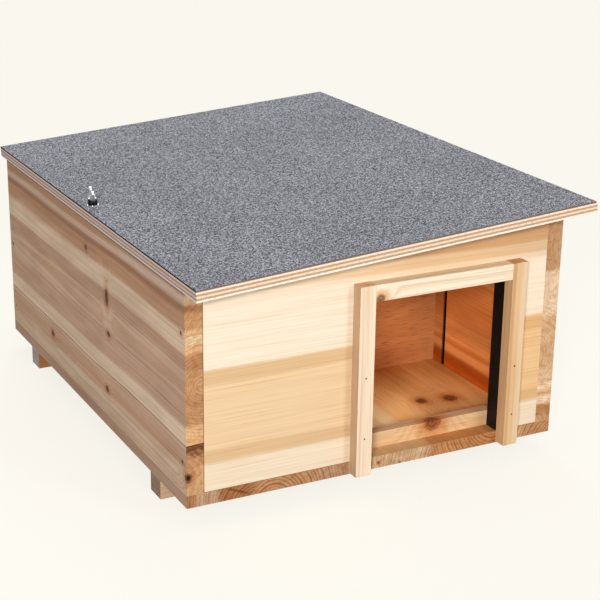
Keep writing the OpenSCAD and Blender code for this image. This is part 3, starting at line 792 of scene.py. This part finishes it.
RED_FACE, RED_CORE, RED_MIDDLE = dye(214, 150, 110), dye(150, 96, 64), dye(222, 168, 124)
RED_PLIES = [RED_FACE, RED_CORE, RED_MIDDLE, RED_CORE, RED_FACE]
PLY_EDGE = 0.0004
low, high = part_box("partition")
# The partition darkens towards the right wall: painted shade.
partition_ply = plywood(
    "partition plywood", low, "X", "Y", high.y - low.y, RED_PLIES,
    face=(dye(250, 172, 104), dye(228, 146, 84)), pore=dye(164, 92, 56), seed=5.0,
    painted_shade_ramp=(0.175, 0.235, 1.0, 0.66),
)
eased("partition", PLY_EDGE, partition_ply)

# The door frame: two posts and a lintel, planed battens pinned round the doorway, and
# a sill batten across the floor just behind it.
sill_wood = timber(
    "door_sill", "X", "Z", [(1.0, dye(226, 187, 141))], [(1.0, 0.03, 0.05)], year=0.004,
    knots=[(0.0945, 0.0150, 0.001, 0.0095, 1.15)], knot_heart=(0.17, 0.026, 0.006),
    side=(1.0, 0.92, 0.95), seed=41.0,
)
eased("door_sill", BOARD_EDGE, sill_wood)
# The side tints are painted shade on the left post's sides and painted light on the right post's sides.
POST_LOOKS = {
    "left_door_post": ([(1.0, dye(250, 230, 204))], (0.64, 0.54, 0.45)),
    "right_door_post": (
        [(0.004, dye(220, 177, 130)), (0.010, dye(231, 194, 147)), (1.0, dye(237, 206, 168))],
        (1.12, 1.14, 1.18),
    ),
}
for seed, (name, (tones, side)) in enumerate(POST_LOOKS.items(), 50):
    post_wood = timber(
        name, "Z", "X", tones, [(1.0, 0.03, 0.06)], year=0.0035, waver=0.006,
        ring_share=0.3, streaks=0.3, side=side, seed=seed,
    )
    eased(name, BOARD_EDGE, post_wood)
# Its side tint darkens its top and bottom: painted shade.
lintel_wood = timber(
    "door_lintel", "X", "Z", [(1.0, dye(254, 240, 216))], [(1.0, -0.02, 0.05)], year=0.0035, waver=0.016,
    knots=[(0.0050, 0.0030, 0.001, 0.0050, 1.2)], knot_heart=(0.15, 0.034, 0.010),
    side=(0.80, 0.74, 0.66), seed=60.0,
)
eased("door_lintel", BOARD_EDGE, lintel_wood)

# The lid: a sheet of five-ply board with pale outer veneers and brown cores. It lies
# on the sloped tops of the walls, and its tilt is the lean of the nut's axis.
nut_axis = Vector(next(j["axis"] for j in frame["joints"] if j["name"] == "wing_nut_spin"))
LID_TILT = atan2(-nut_axis.x, nut_axis.z)
LID_PLIES = [
    dye(254, 244, 226), dye(206, 160, 124), dye(246, 222, 194), dye(204, 158, 122), dye(252, 232, 208),
]
low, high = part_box("roof_board")
lid_run, lid_rise = high.x - low.x, high.z - low.z
lid_thick = (lid_rise * cos(LID_TILT) - lid_run * sin(LID_TILT)) / cos(2 * LID_TILT)
lid_corner = (low.x + lid_thick * sin(LID_TILT), low.y, low.z)
# The lid's low edge is painted darker and cooler: painted shade.
lid_ply = plywood(
    "lid plywood", lid_corner, "Y", "Z", lid_thick, LID_PLIES,
    face=(dye(226, 176, 126), dye(206, 150, 104)), pore=dye(160, 104, 70), tilt=LID_TILT, seed=9.0,
    low_edge_shade=(0.84, 0.84, 0.98),
)
eased("roof_board", PLY_EDGE, lid_ply, "lid")

# The felt: bitumen felt with a grey mineral face, rolled over the lid and cut
# flush, so that its edges show black.
FELT_DARK, FELT_MID, FELT_LIGHT = dye(56, 57, 65), dye(129, 130, 140), dye(213, 214, 221)
BITUMEN, FELT_RIM = dye(22, 18, 18), dye(124, 106, 96)
GRAINS_PER_METRE = 1150.0
CLUMPS_PER_METRE = 480.0
PATCHES_PER_METRE, PATCH_RANGE = 9.0, (0.3, 0.7, 0.93, 1.05)
FELT_EDGE = 0.0006
GRAIN_HIGH = 0.0006


def plain_noise(tree, place, scale, detail):
    return add(tree, "TexNoise", {"Vector": place, "Scale": scale, "Detail": detail}).outputs[0]


felt, tree = blank_material("roofing felt")
facing = board_space(tree, lid_corner, LID_TILT)[1]
place = add(tree, "TexCoord").outputs["Object"]
grains = add(tree, "TexVoronoi", {"Vector": place, "Scale": GRAINS_PER_METRE})
lot = add(tree, "SeparateColor", {0: grains.outputs["Color"]}).outputs[0]
clumps = sums(tree, "SUBTRACT", plain_noise(tree, place, CLUMPS_PER_METRE, 2.0), 0.5)
ramp = add(tree, "ValToRGB", {0: sums(tree, "MULTIPLY_ADD", clumps, 2.0, lot)})
for step, colour in zip(ramp.color_ramp.elements, (FELT_DARK, FELT_LIGHT)):
    step.color = colour
ramp.color_ramp.elements.new(0.5).color = FELT_MID
patches = span(tree, plain_noise(tree, place, PATCHES_PER_METRE, 2.0), *PATCH_RANGE)
colour = dimmed(tree, ramp.outputs[0], patches)
rim = blend(tree, toward(tree, facing, "Y", -1), BITUMEN, FELT_RIM)
colour = blend(tree, span(tree, facing["Z"], 0.75, 0.97), rim, colour)
surfaced(tree, grains.outputs["Distance"], 0.8, GRAIN_HIGH, {
    "Base Color": colour, "Roughness": 0.9, "Specular IOR Level": 0.25,
})
eased("roof_felt", FELT_EDGE, felt, "lid")

# The fixing at the low edge: a cast wing nut and a washer, both with bright zinc plating,
# on a stud that rises from the wall. The nut's foot is painted dark: painted shade and reflection.
NUT_EDGE = 0.0003
METAL_EDGE = 0.0002
FOOT_SHADE_FROM, FOOT_SHADE_TO, FOOT_SHADE = 0.0045, 0.0100, (0.03, 0.03, 0.035, 1)
PIT_DEPTH = 0.0001
CLOUDY, CLOUDY_LEVELS, CLOUDY_ROUGH = (0.3, 0.7), (1.04, 0.90), (0.8, 1.25)


def metal(name, colour, rough, clouds_per_metre, painted_foot_shade=None):
    """Bare metal with a slightly cloudy shine. A painted dark foot, if given, for shade and reflection,
    fades out between two heights.
    """
    material, tree = blank_material(name)
    place = add(tree, "TexCoord").outputs["Object"]
    cloud = plain_noise(tree, place, clouds_per_metre, 3.0)
    tone = dimmed(tree, colour, span(tree, cloud, *CLOUDY, *CLOUDY_LEVELS))
    if painted_foot_shade:
        rise = add(tree, "SeparateXYZ", {0: place}).outputs["Z"]
        tone = blend(tree, until(tree, rise, *painted_foot_shade), tone, FOOT_SHADE)
    rough = span(tree, cloud, *CLOUDY, *[rough * share for share in CLOUDY_ROUGH])
    surfaced(tree, cloud, 0.25, PIT_DEPTH, {"Base Color": tone, "Roughness": rough, "Metallic": 1.0})
    return material


zinc = metal("bright zinc", (0.78, 0.80, 0.82, 1), 0.28, 900.0)
# The nut is painted dark round its foot: painted shade and reflection.
nut_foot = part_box("wing_nut")[0].z
nut_foot_shade = (nut_foot + FOOT_SHADE_FROM, nut_foot + FOOT_SHADE_TO)
nut_zinc = metal("nut zinc", (0.86, 0.88, 0.91, 1), 0.24, 900.0, nut_foot_shade)
eased("wing_nut", NUT_EDGE, nut_zinc, "nut")
eased("lid_washer", METAL_EDGE, zinc, "lid")

# The stud: a zinc-plated rod that stands in the wall, square to the lid, and is threaded
# all along. One turn of its thread is drawn in profile and wound up it.
STUD_RADIUS = 0.003
THREAD_DEPTH = 0.0006
PITCH = 0.001
TURNS = 61
TURN_STEPS = 20
CREST_FLAT = 0.2
TIP_ALLOWANCE = 0.75
FIRST_CUT = 3 * PITCH
stud_low, stud_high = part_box("lid_stud")
stud_lean = Vector((-sin(LID_TILT), 0, cos(LID_TILT)))
stud_foot = Vector((
    stud_high.x - STUD_RADIUS * cos(LID_TILT),
    (stud_low.y + stud_high.y) / 2,
    stud_low.z + STUD_RADIUS * sin(LID_TILT),
))
stud_length = (stud_high.z - stud_foot.z) / stud_lean.z - STUD_RADIUS * TIP_ALLOWANCE * sin(LID_TILT)


def picked(piece, mode, parts, wanted):
    """Leaves a piece in edit mode with only the wanted points, edges or faces selected."""
    bpy.ops.object.mode_set(mode="EDIT")
    bpy.ops.mesh.select_mode(type=mode)
    bpy.ops.mesh.select_all(action="DESELECT")
    bpy.ops.object.mode_set(mode="OBJECT")
    for part in getattr(piece.data, parts):
        part.select = wanted(part)
    bpy.ops.object.mode_set(mode="EDIT")


half_way = STUD_RADIUS - THREAD_DEPTH / 2


def at_root(edge):
    return all(thread.data.vertices[i].co.x < half_way for i in edge.vertices)


bpy.ops.object.select_all(action="DESELECT")
bpy.ops.mesh.primitive_plane_add(size=PITCH, location=(half_way, 0, 0), rotation=(radians(90), 0, 0))
thread = bpy.context.object
thread.name = "lid_stud_threaded"
thread.scale.x = THREAD_DEPTH / PITCH
bpy.ops.object.transform_apply(location=True, rotation=True, scale=True)
picked(thread, "VERT", "vertices", lambda point: point.co.x > half_way)
bpy.ops.transform.resize(value=(1, 1, CREST_FLAT), center_override=(0, 0, 0))
bpy.ops.mesh.select_all(action="SELECT")
bpy.ops.mesh.delete(type="ONLY_FACE")
picked(thread, "EDGE", "edges", at_root)
bpy.ops.mesh.delete(type="EDGE")
bpy.ops.object.mode_set(mode="OBJECT")
wind = thread.modifiers.new("wind", "SCREW")
wind.steps = wind.render_steps = TURN_STEPS
wind.iterations = TURNS
wind.screw_offset = PITCH
wind.use_merge_vertices = True
bpy.ops.object.modifier_apply(modifier="wind")
bpy.ops.object.mode_set(mode="EDIT")
for height, tip in ((FIRST_CUT, False), (FIRST_CUT + stud_length, True)):
    bpy.ops.mesh.select_all(action="SELECT")
    bpy.ops.mesh.bisect(
        plane_co=(0, 0, height), plane_no=(0, 0, 1), use_fill=True, clear_inner=not tip, clear_outer=tip,
    )
bpy.ops.mesh.select_all(action="SELECT")
bpy.ops.mesh.remove_doubles(threshold=SAME_POINT)
bpy.ops.mesh.normals_make_consistent(inside=False)
bpy.ops.object.mode_set(mode="OBJECT")
thread.rotation_euler = (0, -LID_TILT, 0)
thread.location = stud_foot - FIRST_CUT * stud_lean
bpy.ops.object.transform_apply(location=True, rotation=True)
bpy.ops.object.shade_smooth_by_angle(angle=radians(25))
stands_for(thread, "lid_stud", zinc, "house")

# The hinges: two steel butt hinges under the high overhang. Each has a leaf on the
# wall, a leaf on the lid and a pin through the knuckles of both.
LEAF_EDGE = 0.00015
hinge_steel = metal("hinge steel", (0.66, 0.66, 0.64, 1), 0.34, 700.0)
for side in ("front", "back"):
    eased(side + "_hinge_wall_leaf", LEAF_EDGE, hinge_steel)
    eased(side + "_hinge_lid_leaf", LEAF_EDGE, hinge_steel, "lid")
    eased(side + "_hinge_pin", METAL_EDGE, hinge_steel)

# The screws: zinc-plated steel, with countersunk heads, in the hinges, the base and the
# feet. A cross recess is pressed into each head. Its sizes are in head radii.
RECESS_WIDE = 0.26
RECESS_ARM = 0.42
RECESS_DEEPER = 4
RECESS_TAPER = 0.35
bpy.ops.object.select_all(action="DESELECT")
bpy.ops.mesh.primitive_cube_add(size=RECESS_WIDE)
recess = bpy.context.object
recess.name = "recess"
picked(recess, "FACE", "polygons", lambda face: abs(face.normal.z) < 0.5)
bpy.ops.mesh.extrude_faces_move(TRANSFORM_OT_shrink_fatten={"value": RECESS_ARM})
bpy.ops.mesh.select_all(action="SELECT")
bpy.ops.transform.resize(value=(1, 1, RECESS_DEEPER), center_override=(0, 0, 0))
picked(recess, "VERT", "vertices", lambda point: point.co.z < 0)
bpy.ops.transform.resize(value=(RECESS_TAPER, RECESS_TAPER, 1), center_override=(0, 0, 0))
bpy.ops.object.mode_set(mode="OBJECT")

HEADS_FACE = {
    "hinge_wall_screws": Vector((1, 0, 0)), "hinge_lid_screws": -stud_lean,
    "base_screws": Vector((0, 0, -1)), "foot_screws": Vector((0, 0, -1)),
}
SAME_LEVEL = 1e-5
for name, outward in HEADS_FACE.items():
    copied(name)
    bpy.ops.object.mode_set(mode="EDIT")
    bpy.ops.mesh.select_all(action="SELECT")
    bpy.ops.mesh.separate(type="LOOSE")
    bpy.ops.object.mode_set(mode="OBJECT")
    screws = list(bpy.context.selected_objects)
    for screw in screws:
        reach = max(point.co.dot(outward) for point in screw.data.vertices)
        rim = [point.co for point in screw.data.vertices if point.co.dot(outward) > reach - SAME_LEVEL]
        centre = sum(rim, Vector()) / len(rim)
        recess.location = centre
        recess.rotation_euler = outward.to_track_quat("Z", "Y").to_euler()
        recess.scale = [(rim[0] - centre).length] * 3
        bpy.context.view_layer.objects.active = screw
        press = screw.modifiers.new("press", "BOOLEAN")
        press.object = recess
        press.solver = "EXACT"
        bpy.ops.object.modifier_apply(modifier="press")
    bpy.ops.object.select_all(action="DESELECT")
    for screw in screws:
        screw.select_set(True)
    bpy.context.view_layer.objects.active = screws[0]
    bpy.ops.object.join()
    bpy.ops.object.shade_smooth_by_angle(angle=radians(30))
    body = "lid" if name == "hinge_lid_screws" else "house"
    stands_for(screws[0], name, zinc, body)
bpy.data.objects.remove(recess)

# The nails and brads: dull steel wire, in the walls, the partition and the door frame.
# Their heads are punched below the surface of the wood.
dull = metal("dull steel", (0.10, 0.09, 0.085, 1), 0.5, 900.0)
for name in ("wall_nails", "frame_brads", "partition_nails"):
    frame["nodes"][name].data.materials.clear()
    frame["nodes"][name].data.materials.append(dull)

# The picture shows the colours as they are given.
bpy.context.scene.view_settings.view_transform = "Standard"
